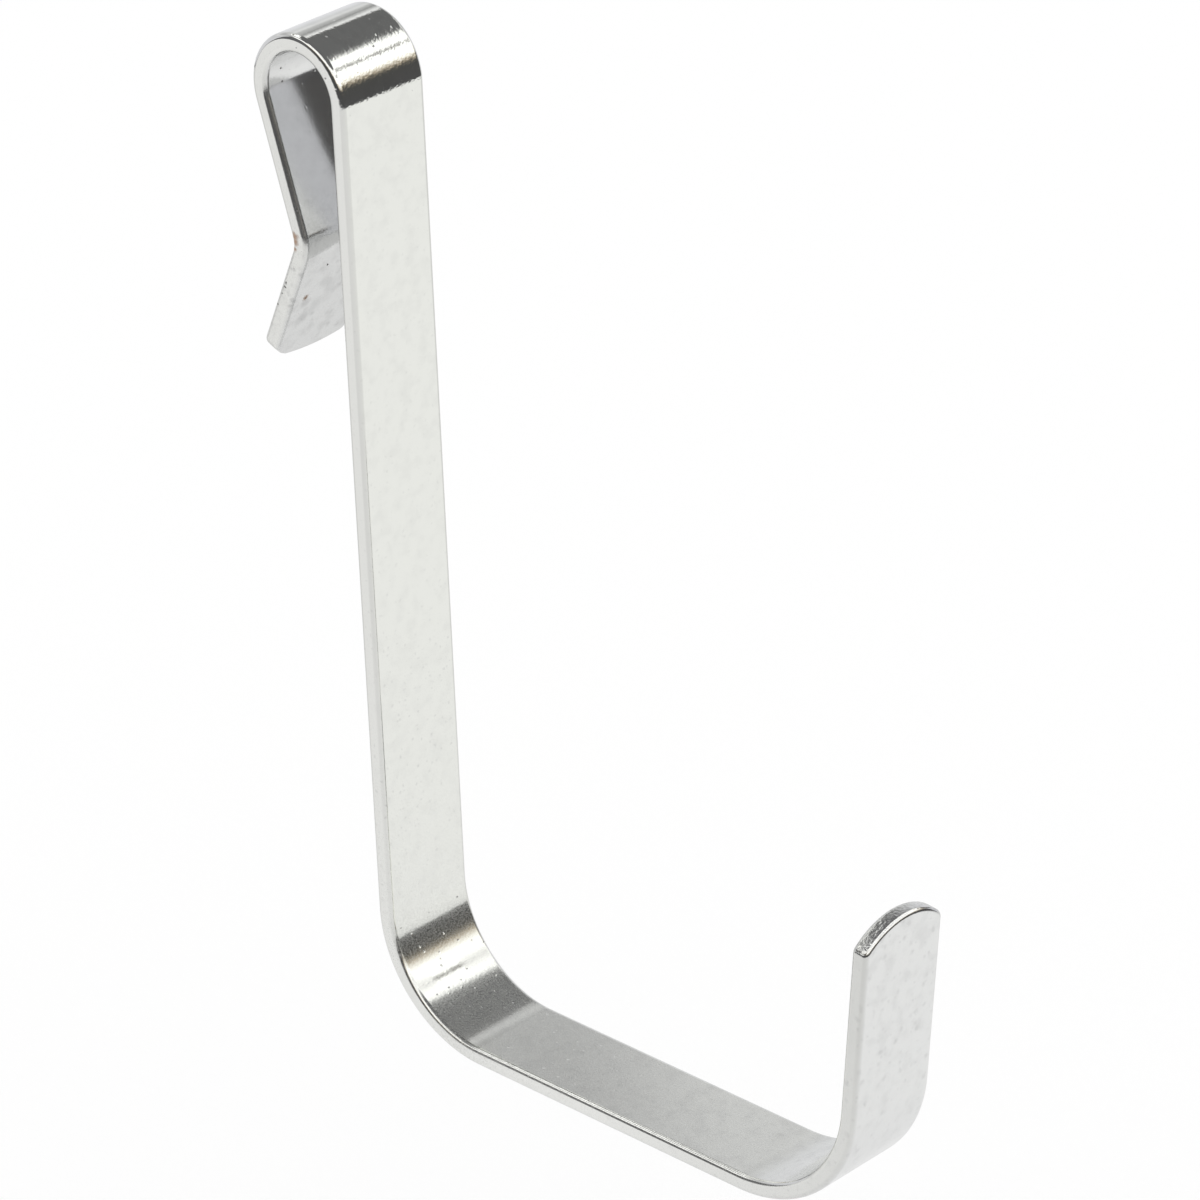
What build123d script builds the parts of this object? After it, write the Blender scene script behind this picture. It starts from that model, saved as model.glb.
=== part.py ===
"""Wire shelving hook: one steel strip, bent into a spring clip, a long shank and an upturned hook.

Millimetres and degrees. The strip is bent in the XZ plane and is symmetric about it. +X is the way the
hook reaches out, +Z is up, and the origin is the middle of the clip's round seat, where the shelf's
rim wire sits.
"""
import os
from math import asin, atan2, degrees, hypot, sqrt

from build123d import *

# The strip
strip_width = 12.7
strip_thickness = 2.25
edge_radius = 0.65
corner_ease = 0.5

# The clip that snaps over the shelf's rim wire
seat_radius = 5.1
throat_gap = 5.24
throat_depth = 18.33
pinch_radius = 2.85
lip_flare = 24.4
lip_length = 15.65
lip_crown = 0.9
lip_corner_cut = 1.3

# The shank and the hook, with the bends measured on their inner faces
shank_length = 101.8
hook_bend_radius = 13.4
run_length = 41.3
tip_bend_radius = 16
tip_lean = 6
tip_length = 24.7
tip_crown = 2.7

# The edges keep a flat between their two roundings, and the ends' corners are rounder than the edges
largest_rounding_share = 0.4
edge_rounding = min(edge_radius, largest_rounding_share * strip_thickness)
corner_rounding = edge_rounding + corner_ease

# The strip's middle line
half_width = strip_width / 2
half_thickness = strip_thickness / 2
seat_middle_radius = seat_radius + half_thickness
pinch_middle_radius = pinch_radius + half_thickness
hook_middle_radius = hook_bend_radius + half_thickness
tip_middle_radius = tip_bend_radius + half_thickness
quarter_turn = 90
half_turn = 180

# The back leg is the tangent between the seat and the pinch, which leaves the throat gap to the shank
pinch_outer_radius = pinch_radius + strip_thickness
pinch_setback = throat_gap + pinch_outer_radius - seat_radius
pinch_reach = hypot(pinch_setback, throat_depth)
tangent_radii = seat_radius + pinch_outer_radius
leg_length = sqrt(pinch_reach**2 - tangent_radii**2)
leg_taper = degrees(asin(tangent_radii / pinch_reach) - atan2(pinch_setback, throat_depth))


def free_end(stretch):
    """Plane on the strip's middle layer at the end of a straight stretch, with x pointing off the end."""
    heading = Plane.XZ.from_local_coords(stretch % 1)
    return Plane(
        Plane.XZ.from_local_coords(stretch @ 1),
        x_dir=heading,
        z_dir=heading.cross(Axis.Y.direction),
    )


def crown_radius(crown):
    """Radius of an end whose middle stands out by the crown, over the strip's width."""
    return (half_width**2 + crown**2) / (2 * crown)


with BuildPart() as shelf_hook:
    # The bent strip, drawn as its middle line from the top of the shank both ways
    with BuildSketch(Plane.XZ):
        with BuildLine():
            seat = JernArc(
                start=(seat_middle_radius, 0),
                tangent=(0, 1),
                radius=seat_middle_radius,
                arc_size=half_turn + leg_taper,
            )
            leg = PolarLine(seat @ 1, leg_length, direction=seat % 1)
            pinch = JernArc(
                start=leg @ 1,
                tangent=leg % 1,
                radius=pinch_middle_radius,
                arc_size=-(leg_taper + lip_flare),
            )
            lip = PolarLine(pinch @ 1, lip_length, direction=pinch % 1)
            shank = PolarLine(seat @ 0, shank_length, direction=(0, -1))
            hook_bend = JernArc(
                start=shank @ 1,
                tangent=shank % 1,
                radius=hook_middle_radius,
                arc_size=quarter_turn,
            )
            run = PolarLine(hook_bend @ 1, run_length, direction=hook_bend % 1)
            tip_bend = JernArc(
                start=run @ 1,
                tangent=run % 1,
                radius=tip_middle_radius,
                arc_size=quarter_turn - tip_lean,
            )
            tip = PolarLine(tip_bend @ 1, tip_length, direction=tip_bend % 1)
        trace(line_width=strip_thickness)
    extrude(amount=half_width, both=True)

    # Both ends are cropped to a crowned arc
    for stretch, crown in ((lip, lip_crown), (tip, tip_crown)):
        with BuildSketch(free_end(stretch)):
            Rectangle(crown, strip_width, align=(Align.MAX, Align.CENTER))
            with Locations((-crown_radius(crown), 0)):
                Circle(crown_radius(crown), mode=Mode.SUBTRACT)
        extrude(amount=half_thickness, both=True, mode=Mode.SUBTRACT)

    # The lip's corners are cut off at a slant
    cut_reach = lip_crown + lip_corner_cut
    with BuildSketch(free_end(lip)):
        Polygon((-cut_reach, half_width), (0, half_width), (0, half_width - cut_reach), align=None)
        mirror(about=Plane.XZ)
    extrude(amount=half_thickness, both=True, mode=Mode.SUBTRACT)

    # The corners of both ends are eased
    for stretch in (lip, tip):
        end = free_end(stretch)
        corners = shelf_hook.edges().filter_by(Axis(end.origin, end.z_dir))
        fillet(corners, corner_rounding)

    # One rounding runs all the way round each face of the strip, as the edges are tangent to each other
    sides = shelf_hook.faces().filter_by(Axis.Y)
    face_edges = sides.edges().filter_by(lambda edge: edge.length > strip_thickness)
    fillet(face_edges, edge_rounding)

shelf_hook.part.label = "shelf_hook"

os.makedirs("parts", exist_ok=True)
export_step(shelf_hook.part, "parts/shelf_hook.step")
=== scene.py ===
"""Looks of the wire shelving hook: one bent strip of bright plated steel in a plain white studio.

Metres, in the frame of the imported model: the origin is the middle of the clip's round seat, +X is the
way the hook reaches out and +Z is up.
"""

from math import asin, atan2, ceil, cos, hypot, pi, radians, sin, sqrt
from types import SimpleNamespace

import bpy
import numpy as np
from mathutils import Matrix, Vector


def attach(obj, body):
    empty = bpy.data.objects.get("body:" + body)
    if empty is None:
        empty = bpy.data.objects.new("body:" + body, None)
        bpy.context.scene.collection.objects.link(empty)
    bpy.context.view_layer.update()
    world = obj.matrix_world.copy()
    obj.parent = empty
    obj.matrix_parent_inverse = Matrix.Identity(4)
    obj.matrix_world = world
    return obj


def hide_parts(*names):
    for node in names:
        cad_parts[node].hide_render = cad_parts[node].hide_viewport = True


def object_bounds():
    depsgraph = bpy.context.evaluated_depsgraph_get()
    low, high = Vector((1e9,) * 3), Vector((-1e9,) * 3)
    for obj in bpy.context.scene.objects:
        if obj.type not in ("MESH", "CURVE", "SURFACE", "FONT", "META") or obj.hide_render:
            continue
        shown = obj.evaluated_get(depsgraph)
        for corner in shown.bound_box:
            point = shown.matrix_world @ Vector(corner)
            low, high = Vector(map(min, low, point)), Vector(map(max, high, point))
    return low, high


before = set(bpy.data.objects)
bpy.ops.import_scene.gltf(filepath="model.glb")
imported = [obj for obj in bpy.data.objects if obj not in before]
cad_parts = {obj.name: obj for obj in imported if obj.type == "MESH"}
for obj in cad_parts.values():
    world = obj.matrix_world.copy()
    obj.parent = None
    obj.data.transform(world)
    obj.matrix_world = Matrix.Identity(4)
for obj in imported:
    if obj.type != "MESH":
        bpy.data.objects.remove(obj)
loaded_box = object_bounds()

MM = 0.001
NODE = "shelf_hook"
BODY = "root"

# The strip, as in the solid
STRIP_WIDTH = 12.7 * MM
STRIP_THICKNESS = 2.25 * MM
EDGE_ROUNDING = 0.65 * MM
CORNER_EASE = 0.5 * MM
SEAT_RADIUS = 5.1 * MM
THROAT_GAP = 5.24 * MM
THROAT_DEPTH = 18.33 * MM
PINCH_RADIUS = 2.85 * MM
LIP_FLARE = radians(24.4)
LIP_LENGTH = 15.65 * MM
LIP_CROWN = 0.9 * MM
LIP_CORNER_CUT = 1.3 * MM
SHANK_LENGTH = 101.8 * MM
HOOK_BEND_RADIUS = 13.4 * MM
RUN_LENGTH = 41.3 * MM
TIP_BEND_RADIUS = 16 * MM
TIP_LEAN = radians(6)
TIP_LENGTH = 24.7 * MM
TIP_CROWN = 2.7 * MM

HALF_WIDTH = STRIP_WIDTH / 2
HALF_THICKNESS = STRIP_THICKNESS / 2
HALF_FACE = HALF_WIDTH - EDGE_ROUNDING
CORNER_ROUNDING = EDGE_ROUNDING + CORNER_EASE

# How finely the strip and the studio's pieces are meshed
STRAIGHT_STEP = 2 * MM
BEND_STEP = radians(2.5)
FACE_ROWS = 41
CORNER_ROWS = 7
EDGE_STEPS = 8
END_STEPS = 721
TABLE_SIDES = 128
TENT_SIDES = 96
TENT_RINGS = 64
PANEL_POSTS = 64

# The photograph's camera, in the frame's axes
CAMERA_AZIMUTH = radians(44.777)
CAMERA_ELEVATION = radians(27.026)
CAMERA_ROLL = radians(-2.337)
CAMERA_TARGET = Vector((37.813, 0, -52.794)) * MM
CAMERA_DISTANCE = 676 * MM
CAMERA_LENS = 181.75
SENSOR_WIDTH = 36
LEVEL = Vector((cos(CAMERA_AZIMUTH), sin(CAMERA_AZIMUTH), 0))
BEHIND = Vector((-sin(CAMERA_AZIMUTH), cos(CAMERA_AZIMUTH), 0))

# The table under the hook. As the plating sees it, its tones are a painted shadow, darkest at its middle
# and lighter with distance, and it carries painted shade in front and behind. The shades' ranges are
# distances behind its middle
WHITE = (1, 1, 1)
TABLE_DROP = 58 * MM
TABLE_HEIGHT = loaded_box[0].z - TABLE_DROP
TABLE_RADIUS = 0.56
TABLE_MIDDLE = CAMERA_TARGET.xy
TABLE_SHADOW_TONES = (
    (0, (0.87, 0.87, 0.875)),
    (0.05, (0.91, 0.91, 0.91)),
    (0.11, (0.985, 0.985, 0.98)),
    (0.20, (0.995, 0.995, 0.985)),
)
FRONT_SHADE = 0.88
FRONT_SHADE_RANGE = (0, -0.2)
BACK_SHADE = 0.8
BACK_SHADE_RANGE = (0.03, 0.13)

# A light tent round the table, closed by a small cap. Its tones go by degrees up from level, as a share
# of its glow: a dark room, a warm edge, a bright side with a thin bar across it, and a dark top
TENT_RADIUS = 4
TENT_GLOW = 1.5
TENT_LOW = -40
TENT_HIGH = 90
TENT_CAP = 1
TENT_DARK = (0.105, 0.105, 0.107)
TENT_BRIGHT = (1, 1, 0.985)
TENT_BAR = (0.08, 0.07, 0.06)
TENT_TONES = (
    (TENT_LOW, (0.06, 0.06, 0.064)),
    (7, (0.055, 0.054, 0.053)),
    (10.5, (0.13, 0.115, 0.092)),
    (14, (0.42, 0.36, 0.28)),
    (17.5, (0.80, 0.77, 0.70)),
    (21, TENT_BRIGHT),
    (32.1, TENT_BRIGHT),
    (32.7, TENT_BAR),
    (34.7, TENT_BAR),
    (35.3, TENT_BRIGHT),
    (44, TENT_BRIGHT),
    (46.5, TENT_DARK),
    (TENT_HIGH, (0.10, 0.10, 0.103)),
)

# Towards the left the tent's tones lie higher, by this angle. Its back is dark, except on the left, and
# it has a dark gap at its far left, lit between two angles. The ranges are shares of the way left or back
TENT_LEFT_LIFT = 9
TENT_LIFT_RANGE = (-0.1, 0.5)
TENT_BACK_RANGE = (0.75, 0.9)
TENT_BACK_LEFT_RANGE = (0.35, 0.2)
TENT_GAP = (0.1, 0.1, 0.103)
TENT_GAP_RANGE = (0.95, 0.985)
GAP_LIT_LOW = 29
GAP_LIT_HIGH = 39
GAP_LIT_FADE = 3

# A pale panel bent round the table's back, from left to right. Its tones go by height above the clip's
# seat. High up, its glow also goes by the distance to the right of the seat
PANEL_RADIUS = 0.6
PANEL_START = radians(74)
PANEL_END = radians(216)
PANEL_TOP = 0.49
PANEL_RIM = PANEL_TOP - 0.012
PANEL_RIM_BLUR = 0.003
PANEL_RIM_TONE = (0.05, 0.045, 0.04)
PANEL_TONES = (
    (-0.2, (0.84, 0.84, 0.87)),
    (0.03, (0.80, 0.804, 0.835)),
    (0.18, (0.68, 0.68, 0.69)),
    (0.25, (0.42, 0.42, 0.425)),
    (0.34, (0.40, 0.40, 0.405)),
    (0.40, (0.46, 0.46, 0.465)),
    (PANEL_RIM - PANEL_RIM_BLUR, (0.56, 0.56, 0.565)),
    (PANEL_RIM, PANEL_RIM_TONE),
    (PANEL_TOP, PANEL_RIM_TONE),
)
PANEL_GAIN = 1.9
PANEL_GAIN_RANGE = (0.1, 0.25)
PANEL_GAIN_SHARES = (
    (-0.06, 0.78),
    (-0.01, 0.66),
    (0.0136, 0.47),
    (0.027, 0.67),
    (0.040, 0.82),
    (0.053, 0.96),
    (0.070, 1.0),
    (0.11, 0.68),
    (0.20, 0.60),
)

# The plating's colours and roughness
FRONT_COLOUR = (0.805, 0.812, 0.78)
BACK_COLOUR = (0.762, 0.766, 0.762)
EDGE_COLOUR = (0.745, 0.747, 0.73)
MARK_COLOUR = (0.42, 0.42, 0.42)
PIT_COLOUR = (0.05, 0.045, 0.04)
RUST_COLOUR = (0.36, 0.22, 0.14)
BACK_ROUGHNESS = 0.11
FROST_ROUGHNESS = 0.4
END_ROUGHNESS = 0.12
DULL_ROUGHNESS = 0.6

# Its noises, each a scale and a detail
GRAIN = (2800, 4)
END_GRAIN = (2400, 3)
FROST = (16000, 2)
FROST_PATCHES = (3500, 4)
SMUDGES = (600, 6)
RAGGEDNESS = (1800, 3)

# Its scatters, each as cells to a metre, the radius of a speck and the share of cells that hold one
DENTS = (1100, 0.2 * MM, 0.3)
SPECKS = (700, 0.55 * MM, 0.5)
FINE_SPECKS = (1300, 0.27 * MM, 0.4)

# How strongly these show
GRAIN_DEPTH = 0.012 * MM
END_GRAIN_HEIGHT = 8
FROST_RANGE = (0.4, 0.66)
PATCH_RANGE = (0.3, 0.7)
PATCH_SHARES = (0.65, 1.35)
SMUDGE_RANGE = (0.42, 0.75)
SMUDGE_SHARE = 0.3
EDGE_SMUDGE_SHARE = 0.3
SPECK_SHARE = 0.32
FINE_SPECK_SHARE = 0.38
SCUFF_SHARE = 0.45
RUST_SHARE = 0.9

# The share of its radius that a single mark fills, and how far its outline is ragged
MARK_CORE = 0.2
RAGGED_REACH = 0.35 * MM

# A cut end's wall, as shares of the edge rounding inside its crown, and how many crowns deep it reaches
END_WALL_FROM = 0.2
END_WALL_FULL = 0.03
END_WALL_REACH = 2

# The haze on the back's roundings comes in at the face's edge and goes out at the wall
HAZE_IN_RANGE = (HALF_FACE - 0.15 * MM, HALF_FACE + 0.1 * MM)
HAZE_OUT_RANGE = (HALF_WIDTH - 0.02 * MM, HALF_WIDTH - 0.15 * MM)

# The haze in the hook's bend lies on both sides of a bar that the bend reflects, at a share of the bend
BAR_PLACE = 0.455
BAR_RANGE = (2.4 * MM, 1.2 * MM)
FAR_HAZE_RANGE = (0.5 * MM, 2.5 * MM)
NEAR_HAZE_RANGE = (-2.6 * MM, -4 * MM)
BEND_HAZE = 0.15

# Places near a stretch's end, and shares of the hook's bend, at which the finish also has values
SEAT_FOOT = 1.5 * MM
SHANK_TOP = 1.5 * MM
SHANK_FOOT = 15 * MM
UPPER_BEND = 0.22
LOWER_BEND = 0.76

# What changes along the strip, as values at named places
# Scales the edges' colour along the strip: below 1 is painted shade, as at the tip, above 1 is painted
# light, as along the run
EDGE_PAINTED_LIGHT_AND_SHADE = {
    "lip": 1, "pinch": 1, "leg": 1, "seat": 1, "shank": 0.98,
    "hook_bend": 1.02, "run": 1.07, "tip_bend": 0.98, "tip": 0.89,
}
FRONT_ROUGHNESS = {
    "lip": 0.12, "pinch": 0.1, "leg": 0.08, "seat": 0.04, "shank": 0.05,
    "hook_bend": 0.05, "run": 0.08, "tip_bend": 0.14, "tip": 0.14,
}
FROST_AMOUNT = {
    "lip": 0.4, "pinch": 0.4, "leg": 0.25, "seat": 0.12, "shank": 0.1, "bend_upper": 0.85,
    "hook_bend": 0.35, "bend_lower": 1.3, "run": 0.5, "tip_bend": 0.35, "tip": 0.3,
}
GRAIN_HEIGHT = {
    "lip": 1, "pinch": 0.6, "leg": 0.3, "seat": 0.3, "seat_foot": 1.8, "shank_top": 0.7, "shank": 0.5,
    "hook_bend": 0.4, "run": 0.2, "tip_bend": 0.4, "tip": 0.7,
}
DENT_AMOUNT = {
    "lip": 1, "pinch": 0.6, "leg": 0.4, "seat": 2, "seat_foot": 2.5, "shank_top": 0.1, "shank": 0.1,
    "hook_bend": 3, "run": 0.1, "tip_bend": 0.2, "tip": 0.4,
}
ROUNDING_HAZE = {
    "lip": 0.22, "pinch": 0.15, "leg": 0.07, "seat": 0.2, "shank": 0,
    "hook_bend": 0, "run": 0, "tip_bend": 0, "tip": 0,
}
SMUDGE_AMOUNT = {
    "lip": 1, "pinch": 0.8, "leg": 0.3, "seat": 0.4, "shank": 0.35,
    "hook_bend": 0.3, "run": 0.5, "tip_bend": 0.6, "tip": 0.65,
}
SPECK_AMOUNT = {
    "lip": 1, "pinch": 0.6, "leg": 0.2, "seat": 0.1, "shank": 0.15,
    "hook_bend": 0.2, "run": 0.4, "tip_bend": 0.8, "tip": 1,
}
FINE_SPECK_AMOUNT = {
    "lip": 0.5, "pinch": 0.5, "leg": 0.1, "seat": 0, "shank_top": 0.3, "shank": 0.45, "shank_foot": 1,
    "bend_upper": 0.1, "hook_bend": 0, "bend_lower": 0.1, "run": 0.5, "tip_bend": 0.6, "tip": 0.8,
}

# Single marks, each a place along, across and deep in the flat strip, and a radius
RUST_SPOTS = (
    (Vector((18.4, -6.35, 0.42)) * MM, 0.75 * MM),
    (Vector((17.7, -6.33, 0.5)) * MM, 0.75 * MM),
    (Vector((16.6, -6.30, 0.68)) * MM, 0.55 * MM),
    (Vector((9.5, -4.15, -1.13)) * MM, 0.6 * MM),
)
SCUFFS = (
    (Vector((14.0, -6.35, 0)) * MM, 0.35 * MM),
    (Vector((13.7, -6.35, 0.3)) * MM, 0.3 * MM),
    (Vector((13.8, -6.1, -1)) * MM, 0.5 * MM),
    (Vector((9.8, -6.1, -1)) * MM, 0.55 * MM),
    (Vector((9.0, -6.1, -1)) * MM, 0.4 * MM),
    (Vector((8.6, -3.9, -1.13)) * MM, 1.1 * MM),
    (Vector((6.2, -3.6, -1.13)) * MM, 1.2 * MM),
)
PITS = (
    (Vector((11.5, -6.35, 0.43)) * MM, 0.22 * MM),
    (Vector((10.9, -6.35, 0.43)) * MM, 0.26 * MM),
    (Vector((9.8, -6.35, 0.57)) * MM, 0.2 * MM),
    (Vector((7.9, -6.35, 0.62)) * MM, 0.18 * MM),
    (Vector((38.2, -4.0, -1.13)) * MM, 0.22 * MM),
    (Vector((36.1, -3.8, -1.13)) * MM, 0.2 * MM),
    (Vector((13.8, -2.1, -1.13)) * MM, 0.25 * MM),
)

# A Mix node's sockets for colours
MIX_FIRST = 6
MIX_SECOND = 7
MIX_RESULT = 2


def leg_tangent():
    """Length and taper of the clip's back leg, which is tangent to the seat and to the pinch."""
    pinch_outer = PINCH_RADIUS + STRIP_THICKNESS
    setback = THROAT_GAP + pinch_outer - SEAT_RADIUS
    reach = hypot(setback, THROAT_DEPTH)
    both_radii = SEAT_RADIUS + pinch_outer
    length = sqrt(reach**2 - both_radii**2)
    taper = asin(both_radii / reach) - atan2(setback, THROAT_DEPTH)
    return length, taper


def bend(inner_radius, turn):
    """Length and turn of a bend's middle line. A left turn is positive."""
    return (inner_radius + HALF_THICKNESS) * abs(turn), turn


def stretches():
    """Length and turn of each stretch of the strip's middle line, from the lip's end to the tip's."""
    leg_length, leg_taper = leg_tangent()
    return {
        "lip": (LIP_LENGTH, 0),
        "pinch": bend(PINCH_RADIUS, leg_taper + LIP_FLARE),
        "leg": (leg_length, 0),
        "seat": bend(SEAT_RADIUS, -pi - leg_taper),
        "shank": (SHANK_LENGTH, 0),
        "hook_bend": bend(HOOK_BEND_RADIUS, pi / 2),
        "run": (RUN_LENGTH, 0),
        "tip_bend": bend(TIP_BEND_RADIUS, pi / 2 - TIP_LEAN),
        "tip": (TIP_LENGTH, 0),
    }


def travel(heading, turn, length, along):
    """How far a stretch has gone in X and Z, and its heading, at some distance along it."""
    if turn == 0:
        return along * cos(heading), along * sin(heading), heading + 0 * along
    bent = heading + turn * along / length
    radius = length / turn
    return radius * (np.sin(bent) - sin(heading)), radius * (cos(heading) - np.cos(bent)), bent


def stretch_starts():
    """Distance along the strip, X, Z and heading at which each stretch starts."""
    starts = {}
    along, x, z, heading = 0, 0, 0, pi / 2 - LIP_FLARE
    for name, (length, turn) in STRETCHES.items():
        starts[name] = (along, x, z, heading)
        step_x, step_z, heading = travel(heading, turn, length, length)
        along, x, z = along + length, x + step_x, z + step_z
    top_x, top_z = starts["shank"][1:3]
    shift_x, shift_z = SEAT_RADIUS + HALF_THICKNESS - top_x, -top_z
    return {
        name: (along, x + shift_x, z + shift_z, heading)
        for name, (along, x, z, heading) in starts.items()
    }


STRETCHES = stretches()
STARTS = stretch_starts()
STRIP_LENGTH = sum(length for length, turn in STRETCHES.values())


def middle_line(along):
    """X, Z and heading of the strip's middle line at distances along the strip."""
    along = np.clip(along, 0, STRIP_LENGTH)
    x, z, heading = (np.zeros_like(along) for _ in range(3))
    for name, (length, turn) in STRETCHES.items():
        start, start_x, start_z, start_heading = STARTS[name]
        here = along >= start
        step_x, step_z, now = travel(start_heading, turn, length, along[here] - start)
        x[here], z[here], heading[here] = start_x + step_x, start_z + step_z, now
    return x, z, heading


def bent_point(along, across, depth):
    """Points of the bent strip. Depth is measured from its middle layer towards the shank's front."""
    x, z, heading = middle_line(along)
    return np.stack([x - depth * np.sin(heading), across, z + depth * np.cos(heading)], -1)


def bent_direction(along, out_along, out_across, out_depth):
    """Directions that the flat strip's directions turn into when it is bent."""
    heading = middle_line(along)[2]
    x = out_along * np.cos(heading) - out_depth * np.sin(heading)
    z = out_along * np.sin(heading) + out_depth * np.cos(heading)
    return np.stack([x, out_across + 0 * x, z], -1)


def column_places():
    """Distances along the strip at which the mesh has points across it."""
    places = []
    for name, (length, turn) in STRETCHES.items():
        count = max(ceil(length / STRAIGHT_STEP), ceil(abs(turn) / BEND_STEP))
        start = STARTS[name][0]
        places.append(np.linspace(start, start + length, count, endpoint=False))
    return np.concatenate(places + [[STRIP_LENGTH]])


def row_places():
    """Distances across a face at which the mesh has points, closer together in the eased corners."""
    eased_from = HALF_FACE - CORNER_EASE
    middle = np.linspace(-eased_from, eased_from, FACE_ROWS)
    corner = eased_from + CORNER_EASE * np.sin(np.linspace(0, pi / 2, CORNER_ROWS))[1:]
    return np.concatenate([-corner[::-1], middle, corner])


def crown_radius(crown):
    """Radius of an end whose middle stands out by the crown, over the strip's width."""
    return (HALF_WIDTH**2 + crown**2) / (2 * crown)


def corner_centres(crown, corner_cut):
    """Centres of an end's corner roundings, ahead of the end and across, from the middle out."""
    radius = crown_radius(crown)
    inner_radius = radius - CORNER_ROUNDING
    side = HALF_WIDTH - CORNER_ROUNDING
    if not corner_cut:
        corner = (sqrt(inner_radius**2 - side**2) - radius, side)
        return corner, corner
    slant = HALF_WIDTH - crown - corner_cut - sqrt(2) * CORNER_ROUNDING
    from_centre = slant + radius
    near_side = (from_centre - sqrt(2 * inner_radius**2 - from_centre**2)) / 2
    return (slant - near_side, near_side), (slant - side, side)


def face_end(across, crown, corner_cut=0):
    """How far a face stands back from the strip's crowned end, and the way its outline faces there."""
    radius = crown_radius(crown)
    near, far = corner_centres(crown, corner_cut)
    facing = np.linspace(0, pi / 2, END_STEPS)
    ahead = (radius - CORNER_ROUNDING) * np.cos(facing) - radius
    out = (radius - CORNER_ROUNDING) * np.sin(facing)
    past_crown = out > near[1]
    past_slant = facing > pi / 4
    ahead = np.where(past_crown, np.where(past_slant, far[0], near[0]), ahead)
    out = np.where(past_crown, np.where(past_slant, far[1], near[1]), out)
    ahead = ahead + CORNER_EASE * np.cos(facing)
    out = out + CORNER_EASE * np.sin(facing)
    turn = np.interp(np.abs(across), out, facing)
    return -np.interp(np.abs(across), out, ahead), np.cos(turn), np.copysign(np.sin(turn), across)


def face_grid():
    """Places along and across a face, and the way its outline faces at the grid's outer points."""
    columns, rows = column_places(), row_places()
    along = np.repeat(columns[:, None], len(rows), 1)
    across = np.repeat(rows[None, :], len(columns), 0)
    out_along, out_across = np.zeros_like(along), np.zeros_like(along)
    out_across[:, 0], out_across[:, -1] = -1, 1

    lip_back, lip_out, lip_side = face_end(rows, LIP_CROWN, LIP_CORNER_CUT)
    share = np.maximum(1 - along / LIP_LENGTH, 0)
    along = along + share * lip_back
    out_along[0], out_across[0] = -lip_out, lip_side

    tip_back, tip_out, tip_side = face_end(rows, TIP_CROWN)
    share = np.maximum(1 - (STRIP_LENGTH - columns[:, None]) / TIP_LENGTH, 0)
    along = along - share * tip_back
    out_along[-1], out_across[-1] = tip_out, tip_side
    return along, across, out_along, out_across


def grid_outline(index):
    """A grid's outer points, in order round it."""
    return np.concatenate([index[:-1, 0], index[-1, :-1], index[:0:-1, -1], index[0, :0:-1]])


def edge_rings():
    """How far out and how deep each ring round the strip's edge lies, and the way it faces."""
    turn = np.linspace(0, pi / 2, EDGE_STEPS + 1)[1:]
    outs = EDGE_ROUNDING * np.sin(turn)
    depths = HALF_THICKNESS - EDGE_ROUNDING * (1 - np.cos(turn))
    front = list(zip(outs, depths, np.sin(turn), np.cos(turn)))
    back = [
        (out, -depth, face_out, -face_depth)
        for out, depth, face_out, face_depth in reversed(front)
    ]
    return front + back


def strip_quads(index, outline):
    """Quads of both faces, and of the rings that join them round the edge."""
    corners = [index[:-1, :-1], index[1:, :-1], index[1:, 1:], index[:-1, 1:]]
    front = np.stack(corners, -1).reshape(-1, 4)
    back = front[:, ::-1] + index.size
    first_ring = 2 * index.size
    rings = [first_ring + n * len(outline) + np.arange(len(outline)) for n in range(2 * EDGE_STEPS)]
    loops = [outline] + rings + [outline + index.size]
    quads = [front, back]
    for upper, lower in zip(loops, loops[1:]):
        quads.append(np.stack([upper, lower, np.roll(lower, -1), np.roll(upper, -1)], -1))
    return np.concatenate(quads)


def strip_arrays():
    """Points, normals, flat places and quads of the whole strip."""
    along, across, out_along, out_across = (values.ravel() for values in face_grid())
    index = np.arange(along.size).reshape(len(column_places()), -1)
    outline = grid_outline(index)
    points, normals, places = [], [], []

    for side in (1.0, -1.0):
        depth = np.full(along.size, side * HALF_THICKNESS)
        points.append(bent_point(along, across, depth))
        normals.append(bent_direction(along, 0, 0, np.full(along.size, side)))
        places.append(np.stack([along, across, depth], -1))

    rim_ahead, rim_side = out_along[outline], out_across[outline]
    for out, depth, face_out, face_depth in edge_rings():
        ring_along = along[outline] + out * rim_ahead
        ring_across = across[outline] + out * rim_side
        ring_depth = np.full(len(outline), depth)
        points.append(bent_point(ring_along, ring_across, ring_depth))
        normals.append(bent_direction(ring_along, face_out * rim_ahead, face_out * rim_side, face_depth))
        places.append(np.stack([ring_along, ring_across, ring_depth], -1))
    arrays = [np.concatenate(part) for part in (points, normals, places)]
    return *arrays, strip_quads(index, outline)


def make_strip():
    """The bent strip as one closed mesh with exact normals. It carries its flat places for its finish."""
    points, normals, places, quads = strip_arrays()
    mesh = bpy.data.meshes.new("plated_strip")
    mesh.from_pydata(points.tolist(), [], quads.tolist())
    mesh.shade_smooth()
    mesh.normals_split_custom_set_from_vertices(normals.tolist())
    flat = mesh.attributes.new("flat_place", "FLOAT_VECTOR", "POINT")
    flat.data.foreach_set("vector", places.astype(np.float32).ravel())
    strip = bpy.data.objects.new("plated_strip", mesh)
    bpy.context.scene.collection.objects.link(strip)
    return strip


def empty_material(name):
    """A material with no nodes yet."""
    material = bpy.data.materials.new(name)
    material.use_nodes = True
    material.node_tree.nodes.clear()
    return material


def add_node(tree, kind, inputs=None, **settings):
    """A shader node with its settings made, and its inputs set or linked."""
    node = tree.nodes.new(kind)
    for name, value in settings.items():
        setattr(node, name, value)
    for name, value in (inputs or {}).items():
        if isinstance(value, bpy.types.NodeSocket):
            tree.links.new(value, node.inputs[name])
        else:
            node.inputs[name].default_value = value
    return node


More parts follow.
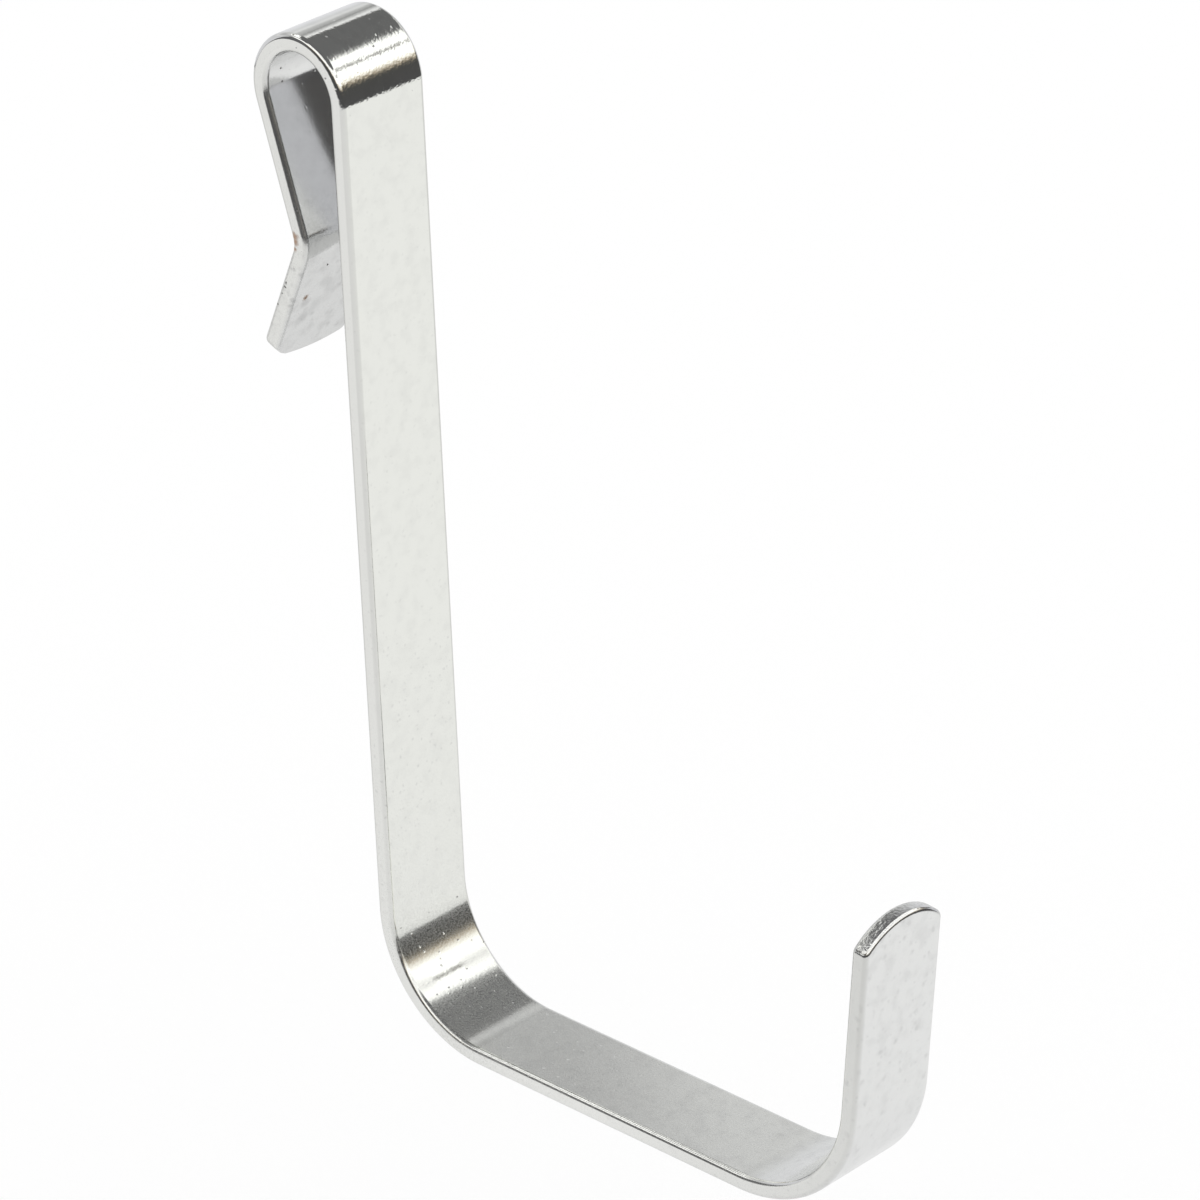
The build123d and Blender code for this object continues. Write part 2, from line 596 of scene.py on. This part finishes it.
def change(tree, operation, value):
    """A number put through a function, such as its arcsine."""
    return add_node(tree, "ShaderNodeMath", {0: value}, operation=operation).outputs["Value"]


def combine(tree, operation, first, second):
    """Two numbers put together by a sum, a product or the like."""
    return add_node(tree, "ShaderNodeMath", {0: first, 1: second}, operation=operation).outputs["Value"]


def product(tree, first, *others):
    """Numbers multiplied together."""
    for other in others:
        first = combine(tree, "MULTIPLY", first, other)
    return first


def greatest(tree, first, *others):
    """The greatest of some numbers."""
    for other in others:
        first = combine(tree, "MAXIMUM", first, other)
    return first


def blend_range(tree, value, start, end, low=0.0, high=1.0):
    """A value turned smoothly from low to high between two of its sizes."""
    inputs = {"Value": value, "From Min": start, "From Max": end, "To Min": low, "To Max": high}
    return add_node(tree, "ShaderNodeMapRange", inputs, interpolation_type="SMOOTHSTEP").outputs["Result"]


def mix_numbers(tree, share, first, second):
    """One number turned into another by a share."""
    return add_node(tree, "ShaderNodeMix", {"Factor": share, "A": first, "B": second}).outputs["Result"]


def vector_parts(tree, vector):
    """A vector's three numbers, by the names X, Y and Z."""
    return add_node(tree, "ShaderNodeSeparateXYZ", {"Vector": vector}).outputs


def direction(tree, vector):
    """The way that a vector points, with a length of one."""
    return add_node(tree, "ShaderNodeVectorMath", {0: vector}, operation="NORMALIZE").outputs["Vector"]


def combine_vectors(tree, operation, first, second):
    """Two vectors put together by a sum, a product or the like."""
    inputs = {0: first, 1: second}
    return add_node(tree, "ShaderNodeVectorMath", inputs, operation=operation).outputs["Vector"]


def measure_vectors(tree, operation, first, second):
    """The number that two vectors give, such as their distance or their dot product."""
    inputs = {0: first, 1: second}
    return add_node(tree, "ShaderNodeVectorMath", inputs, operation=operation).outputs["Value"]


def opaque(colour):
    """A colour as a socket takes it. A colour from another node stays as it is."""
    return colour if isinstance(colour, bpy.types.NodeSocket) else (*colour, 1)


def mix_colour(tree, share, first, second):
    """One colour turned into another by a share."""
    inputs = {"Factor": share, MIX_FIRST: opaque(first), MIX_SECOND: opaque(second)}
    return add_node(tree, "ShaderNodeMix", inputs, data_type="RGBA").outputs[MIX_RESULT]


def tone_ramp(tree, position, tones):
    """The colour that a list of places and tones gives at a position."""
    first, last = tones[0][0], tones[-1][0]
    inputs = {"Value": position, "From Min": first, "From Max": last}
    share = add_node(tree, "ShaderNodeMapRange", inputs).outputs["Result"]
    ramp = add_node(tree, "ShaderNodeValToRGB", {"Fac": share})
    stops = ramp.color_ramp.elements
    for place, tone in tones[1:-1]:
        stops.new((place - first) / (last - first)).color = opaque(tone)
    stops[0].color = opaque(tones[0][1])
    stops[-1].color = opaque(tones[-1][1])
    return ramp.outputs["Color"]


def noise(tree, place, scale, detail):
    """Cloudy noise from 0 to 1 over places in the strip."""
    inputs = {"Vector": place, "Scale": scale, "Detail": detail}
    return add_node(tree, "ShaderNodeTexNoise", inputs).outputs["Fac"]


def specks(tree, place, scale, radius, share):
    """Scattered specks. Each cell of the scatter holds one at random, for a share of the cells."""
    cells = add_node(tree, "ShaderNodeTexVoronoi", {"Vector": place, "Scale": scale})
    luck = add_node(tree, "ShaderNodeSeparateColor", {"Color": cells.outputs["Color"]}).outputs["Red"]
    held = combine(tree, "LESS_THAN", luck, share)
    reach = blend_range(tree, cells.outputs["Distance"], radius * scale, 0.0)
    return product(tree, held, reach)


def spots(tree, place, marks):
    """Marks at known places on the strip, each with its own radius."""
    share = 0.0
    for centre, radius in marks:
        away = measure_vectors(tree, "DISTANCE", place, centre)
        share = greatest(tree, blend_range(tree, away, radius, MARK_CORE * radius), share)
    return share


def in_hook_bend(share):
    """Distance along the strip of a place in the hook's bend, given as a share of the bend."""
    return STARTS["hook_bend"][0] + share * STRETCHES["hook_bend"][0]


def finish_places():
    """Distances along the strip at which the finish's named values hold."""
    places = {name: STARTS[name][0] + length / 2 for name, (length, turn) in STRETCHES.items()}
    places["seat_foot"] = STARTS["shank"][0] - SEAT_FOOT
    places["shank_top"] = STARTS["shank"][0] + SHANK_TOP
    places["shank_foot"] = STARTS["hook_bend"][0] - SHANK_FOOT
    places["bend_upper"] = in_hook_bend(UPPER_BEND)
    places["bend_lower"] = in_hook_bend(LOWER_BEND)
    return places


def along_strip(tree, along, values):
    """A value that blends along the strip from one named place to the next."""
    places = finish_places()
    largest = max(values.values())
    stops = [(places[name], (value / largest,) * 3) for name, value in values.items()]
    return product(tree, tone_ramp(tree, along, stops), largest)


def cut_ends(tree, place, along):
    """How far a place lies on the strip's crowned end walls, which were cut and not rolled."""
    flat = combine_vectors(tree, "MULTIPLY", place, (1, 1, 0))
    share = 0.0
    for end, inwards, crown in ((0, 1, LIP_CROWN), (STRIP_LENGTH, -1, TIP_CROWN)):
        radius = crown_radius(crown)
        away = measure_vectors(tree, "DISTANCE", flat, (end + inwards * radius, 0, 0))
        wall_from = radius - END_WALL_FROM * EDGE_ROUNDING
        wall_full = radius - END_WALL_FULL * EDGE_ROUNDING
        on_wall = blend_range(tree, away, wall_from, wall_full)
        from_end = change(tree, "ABSOLUTE", combine(tree, "SUBTRACT", along, end))
        near_end = combine(tree, "LESS_THAN", from_end, END_WALL_REACH * crown)
        share = greatest(tree, product(tree, on_wall, near_end), share)
    return share


def ragged_places(tree, place):
    """Places on the strip shifted about a little, which gives marks a ragged outline."""
    scale, detail = RAGGEDNESS
    wobble = add_node(tree, "ShaderNodeTexNoise", {"Vector": place, "Scale": scale, "Detail": detail})
    inputs = {0: wobble.outputs["Color"], 1: (2 * RAGGED_REACH,) * 3, 2: place}
    shifted = add_node(tree, "ShaderNodeVectorMath", inputs, operation="MULTIPLY_ADD").outputs["Vector"]
    return combine_vectors(tree, "SUBTRACT", shifted, (RAGGED_REACH,) * 3)


def surface(tree):
    """Where a point lies in the flat strip, and how far it is on the back, an edge, a cut end or a mark."""
    place = add_node(tree, "ShaderNodeAttribute", attribute_name="flat_place").outputs["Vector"]
    parts = vector_parts(tree, place)
    from_middle = change(tree, "ABSOLUTE", parts["Y"])
    ragged = ragged_places(tree, place)
    return SimpleNamespace(
        place=place,
        ragged=ragged,
        along=parts["X"],
        across=parts["Y"],
        from_middle=from_middle,
        on_back=blend_range(tree, parts["Z"], HALF_THICKNESS, -HALF_THICKNESS),
        on_edge=blend_range(tree, from_middle, HALF_FACE, HALF_WIDTH),
        on_end=cut_ends(tree, place, parts["X"]),
        dent=specks(tree, place, *DENTS),
        rust=product(tree, spots(tree, ragged, RUST_SPOTS), RUST_SHARE),
        pit=spots(tree, ragged, PITS),
    )


def grey_marks(tree, here):
    """How far a point is grey with smudges, specks, fine specks and scuffs."""
    smudge = blend_range(tree, noise(tree, here.place, *SMUDGES), *SMUDGE_RANGE, 0, SMUDGE_SHARE)
    edge_share = blend_range(tree, here.on_edge, 0, 1, 1, EDGE_SMUDGE_SHARE)
    speck = product(tree, specks(tree, here.ragged, *SPECKS), SPECK_SHARE)
    fine_speck = product(tree, specks(tree, here.ragged, *FINE_SPECKS), FINE_SPECK_SHARE)
    return (
        product(tree, smudge, along_strip(tree, here.along, SMUDGE_AMOUNT), edge_share),
        product(tree, speck, along_strip(tree, here.along, SPECK_AMOUNT)),
        product(tree, fine_speck, along_strip(tree, here.along, FINE_SPECK_AMOUNT)),
        product(tree, spots(tree, here.ragged, SCUFFS), SCUFF_SHARE),
    )


def plating_colour(tree, here):
    """A slightly warm mirror with its own tones on the back and the edges, and its marks, rust and pits.
    The edges also carry painted shade at the tip and painted light along the run.
    """
    colour = mix_colour(tree, here.on_back, FRONT_COLOUR, BACK_COLOUR)
    # The edges' colour, darkened or lightened along the strip as painted shade and painted light
    inputs = {0: EDGE_COLOUR, "Scale": along_strip(tree, here.along, EDGE_PAINTED_LIGHT_AND_SHADE)}
    edge = add_node(tree, "ShaderNodeVectorMath", inputs, operation="SCALE").outputs["Vector"]
    colour = mix_colour(tree, here.on_edge, colour, edge)
    for mark in grey_marks(tree, here):
        colour = mix_colour(tree, mark, colour, MARK_COLOUR)
    colour = mix_colour(tree, here.rust, colour, RUST_COLOUR)
    return mix_colour(tree, here.pit, colour, PIT_COLOUR)


def frost(tree, here):
    """Fine frost in patches, which the dents break."""
    grains = blend_range(tree, noise(tree, here.place, *FROST), *FROST_RANGE, 0, FROST_ROUGHNESS)
    patches = blend_range(tree, noise(tree, here.place, *FROST_PATCHES), *PATCH_RANGE, *PATCH_SHARES)
    unbroken = combine(tree, "SUBTRACT", 1, here.dent)
    return product(tree, grains, patches, unbroken, along_strip(tree, here.along, FROST_AMOUNT))


def rounding_haze(tree, here):
    """Extra roughness on the roundings of the strip's back, which blurs the line between face and edge."""
    past_face = blend_range(tree, here.from_middle, *HAZE_IN_RANGE)
    before_wall = blend_range(tree, here.from_middle, *HAZE_OUT_RANGE)
    amount = along_strip(tree, here.along, ROUNDING_HAZE)
    return product(tree, past_face, before_wall, here.on_back, amount)


def bend_haze(tree, here):
    """Extra roughness beside the middle of the hook's bend, which leaves the bar reflected there short."""
    away = change(tree, "ABSOLUTE", combine(tree, "SUBTRACT", here.along, in_hook_bend(BAR_PLACE)))
    near_bar = blend_range(tree, away, *BAR_RANGE)
    far_side = blend_range(tree, here.across, *FAR_HAZE_RANGE)
    near_side = blend_range(tree, here.across, *NEAR_HAZE_RANGE)
    return product(tree, near_bar, greatest(tree, far_side, near_side), BEND_HAZE)


def plating_roughness(tree, here, dull):
    """Smooth on the strip's front, hazier on its back, and rougher where it is frosted, cut or dull."""
    front = along_strip(tree, here.along, FRONT_ROUGHNESS)
    smooth = mix_numbers(tree, here.on_back, front, BACK_ROUGHNESS)
    rougher = greatest(
        tree,
        frost(tree, here),
        product(tree, dull, DULL_ROUGHNESS),
        product(tree, here.on_end, END_ROUGHNESS),
        rounding_haze(tree, here),
        bend_haze(tree, here),
    )
    return combine(tree, "ADD", smooth, rougher)


def plating_grain(tree, here):
    """The plating's fine grain, coarser on the cut ends, with a few tiny dents."""
    dents = product(tree, here.dent, along_strip(tree, here.along, DENT_AMOUNT))
    fine = product(tree, noise(tree, here.place, *GRAIN), along_strip(tree, here.along, GRAIN_HEIGHT))
    coarse = product(tree, noise(tree, here.place, *END_GRAIN), here.on_end, END_GRAIN_HEIGHT)
    height = combine(tree, "ADD", combine(tree, "SUBTRACT", fine, dents), coarse)
    inputs = {"Height": height, "Distance": GRAIN_DEPTH, "Strength": 1}
    return add_node(tree, "ShaderNodeBump", inputs).outputs["Normal"]


def plated_steel():
    """Bright plating, which is dull where it has rusted or pitted."""
    material = empty_material("plated_steel")
    tree = material.node_tree
    here = surface(tree)
    dull = greatest(tree, here.rust, here.pit)
    inputs = {
        "Base Color": plating_colour(tree, here),
        "Metallic": combine(tree, "SUBTRACT", 1, dull),
        "Roughness": plating_roughness(tree, here, dull),
        "Normal": plating_grain(tree, here),
    }
    shader = add_node(tree, "ShaderNodeBsdfPrincipled", inputs)
    add_node(tree, "ShaderNodeOutputMaterial", {"Surface": shader.outputs["BSDF"]})
    return material


def world_place(tree):
    """Where a point lies in the frame."""
    return add_node(tree, "ShaderNodeNewGeometry").outputs["Position"]


def table_material():
    """Matt white to the camera. In the plating it shows a painted shadow under the hook and painted shade
    before and behind it.
    """
    material = empty_material("table")
    tree = material.node_tree
    place = world_place(tree)
    middle = (*TABLE_MIDDLE, TABLE_HEIGHT)
    distance = measure_vectors(tree, "DISTANCE", place, middle)
    away = combine_vectors(tree, "SUBTRACT", place, middle)
    behind = measure_vectors(tree, "DOT_PRODUCT", away, BEHIND)
    front_shade = blend_range(tree, behind, *FRONT_SHADE_RANGE, 1, FRONT_SHADE)
    back_shade = blend_range(tree, behind, *BACK_SHADE_RANGE, 1, BACK_SHADE)
    shade = product(tree, front_shade, back_shade)
    # Painted shadow, darkest at the table's middle, times the painted shade in front and behind
    shaded = combine_vectors(tree, "MULTIPLY", tone_ramp(tree, distance, TABLE_SHADOW_TONES), shade)
    seen = add_node(tree, "ShaderNodeLightPath").outputs["Is Camera Ray"]
    diffuse = add_node(tree, "ShaderNodeBsdfDiffuse", {"Color": mix_colour(tree, seen, shaded, WHITE)})
    add_node(tree, "ShaderNodeOutputMaterial", {"Surface": diffuse.outputs["BSDF"]})
    return material


def staged(name, points, faces, material):
    """A piece of the studio, which isn't part of the hook."""
    mesh = bpy.data.meshes.new(name)
    mesh.from_pydata(points, [], faces)
    mesh.materials.append(material)
    piece = bpy.data.objects.new(name, mesh)
    bpy.context.scene.collection.objects.link(piece)
    return piece


def add_table():
    """A round white table top under the hook."""
    turns = np.linspace(0, 2 * pi, TABLE_SIDES, endpoint=False)
    points = [(TABLE_RADIUS * cos(t), TABLE_RADIUS * sin(t), TABLE_HEIGHT) for t in turns]
    staged("table", points, [list(range(len(points)))], table_material())


def only_reflected(piece):
    """The piece is seen in the plating, and nowhere else."""
    for ray in ("camera", "diffuse", "transmission", "shadow"):
        setattr(piece, "visible_" + ray, False)
    piece.active_material.cycles.emission_sampling = "NONE"


def give_off(tree, colour, strength):
    """Makes a material that only gives off light."""
    emission = add_node(tree, "ShaderNodeEmission", {"Color": colour, "Strength": strength})
    add_node(tree, "ShaderNodeOutputMaterial", {"Surface": emission.outputs["Emission"]})


def gap_share(tree, left, angle):
    """How far a point of the tent lies in the dark gap at its far left, above or below the lit stretch."""
    in_gap = blend_range(tree, left, *TENT_GAP_RANGE)
    above = blend_range(tree, angle, GAP_LIT_HIGH, GAP_LIT_HIGH + GAP_LIT_FADE)
    below = blend_range(tree, angle, GAP_LIT_LOW, GAP_LIT_LOW - GAP_LIT_FADE)
    return product(tree, in_gap, greatest(tree, above, below))


def tent_material():
    """The tent's inside, with a tone for each angle up from level, a dark back and a dark gap."""
    material = empty_material("light_tent")
    tree = material.node_tree
    way = direction(tree, world_place(tree))
    level_way = direction(tree, combine_vectors(tree, "MULTIPLY", way, (1, 1, 0)))
    left = measure_vectors(tree, "DOT_PRODUCT", level_way, -LEVEL)
    behind = measure_vectors(tree, "DOT_PRODUCT", level_way, BEHIND)
    angle = change(tree, "DEGREES", change(tree, "ARCSINE", vector_parts(tree, way)["Z"]))

    lift = blend_range(tree, left, *TENT_LIFT_RANGE, 0, TENT_LEFT_LIFT)
    tone = tone_ramp(tree, combine(tree, "SUBTRACT", angle, lift), TENT_TONES)
    at_back = blend_range(tree, behind, *TENT_BACK_RANGE)
    at_back = product(tree, at_back, blend_range(tree, left, *TENT_BACK_LEFT_RANGE))
    tone = mix_colour(tree, at_back, tone, TENT_DARK)
    tone = mix_colour(tree, gap_share(tree, left, angle), tone, TENT_GAP)
    give_off(tree, tone, TENT_GLOW)
    return material


def add_tent():
    """A dome round the table, open below."""
    rises = np.radians(np.linspace(TENT_LOW, TENT_HIGH - TENT_CAP, TENT_RINGS))
    turns = np.linspace(0, 2 * pi, TENT_SIDES, endpoint=False)
    points = [
        (TENT_RADIUS * cos(rise) * cos(turn), TENT_RADIUS * cos(rise) * sin(turn), TENT_RADIUS * sin(rise))
        for rise in rises
        for turn in turns
    ]
    index = np.arange(len(points)).reshape(TENT_RINGS, TENT_SIDES)
    after = np.roll(index, -1, 1)
    faces = np.stack([index[:-1], index[1:], after[1:], after[:-1]], -1).reshape(-1, 4).tolist()
    faces.append(index[-1].tolist())
    only_reflected(staged("light_tent", points, faces, tent_material()))


def panel_material():
    """The panel behind the hook, which is greyer towards its top, with a dark rim."""
    material = empty_material("back_panel")
    tree = material.node_tree
    place = world_place(tree)
    height = vector_parts(tree, place)["Z"]
    right = measure_vectors(tree, "DOT_PRODUCT", place, LEVEL)
    shares = [(where, (share,) * 3) for where, share in PANEL_GAIN_SHARES]
    gain = product(tree, tone_ramp(tree, right, shares), PANEL_GAIN)
    gain = mix_numbers(tree, blend_range(tree, height, *PANEL_GAIN_RANGE), 1.0, gain)
    give_off(tree, tone_ramp(tree, height, PANEL_TONES), gain)
    return material


def add_back_panel():
    """A pale panel that stands round the back of the table."""
    points = []
    for turn in np.linspace(PANEL_START, PANEL_END, PANEL_POSTS):
        x, y = PANEL_RADIUS * cos(turn), PANEL_RADIUS * sin(turn)
        points += [(x, y, TABLE_HEIGHT), (x, y, PANEL_TOP)]
    faces = [(2 * n, 2 * n + 1, 2 * n + 3, 2 * n + 2) for n in range(PANEL_POSTS - 1)]
    only_reflected(staged("back_panel", points, faces, panel_material()))


def add_studio():
    """Plain white surroundings. The plating also shows the tent and the panel."""
    scene = bpy.context.scene
    scene.view_settings.view_transform = "Standard"
    scene.world = bpy.data.worlds.new("studio")
    scene.world.use_nodes = True
    background = scene.world.node_tree.nodes["Background"]
    background.inputs["Color"].default_value = opaque(WHITE)
    background.inputs["Strength"].default_value = 1
    add_table()
    add_tent()
    add_back_panel()


def add_camera():
    """The photograph's camera."""
    away = Vector((
        sin(CAMERA_AZIMUTH) * cos(CAMERA_ELEVATION),
        -cos(CAMERA_AZIMUTH) * cos(CAMERA_ELEVATION),
        sin(CAMERA_ELEVATION),
    ))
    facing = Matrix((LEVEL, away.cross(LEVEL), away)).transposed().to_4x4()
    data = bpy.data.cameras.new("camera")
    data.lens = CAMERA_LENS
    data.sensor_width = SENSOR_WIDTH
    camera = bpy.data.objects.new("camera", data)
    bpy.context.scene.collection.objects.link(camera)
    place = Matrix.Translation(CAMERA_TARGET + away * CAMERA_DISTANCE)
    camera.matrix_world = place @ facing @ Matrix.Rotation(CAMERA_ROLL, 4, "Z")
    bpy.context.scene.camera = camera


def add_hook():
    """The finely meshed strip, which stands for the solid."""
    strip = make_strip()
    strip.data.materials.append(plated_steel())
    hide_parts(NODE)
    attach(strip, BODY)


add_hook()
add_studio()
add_camera()
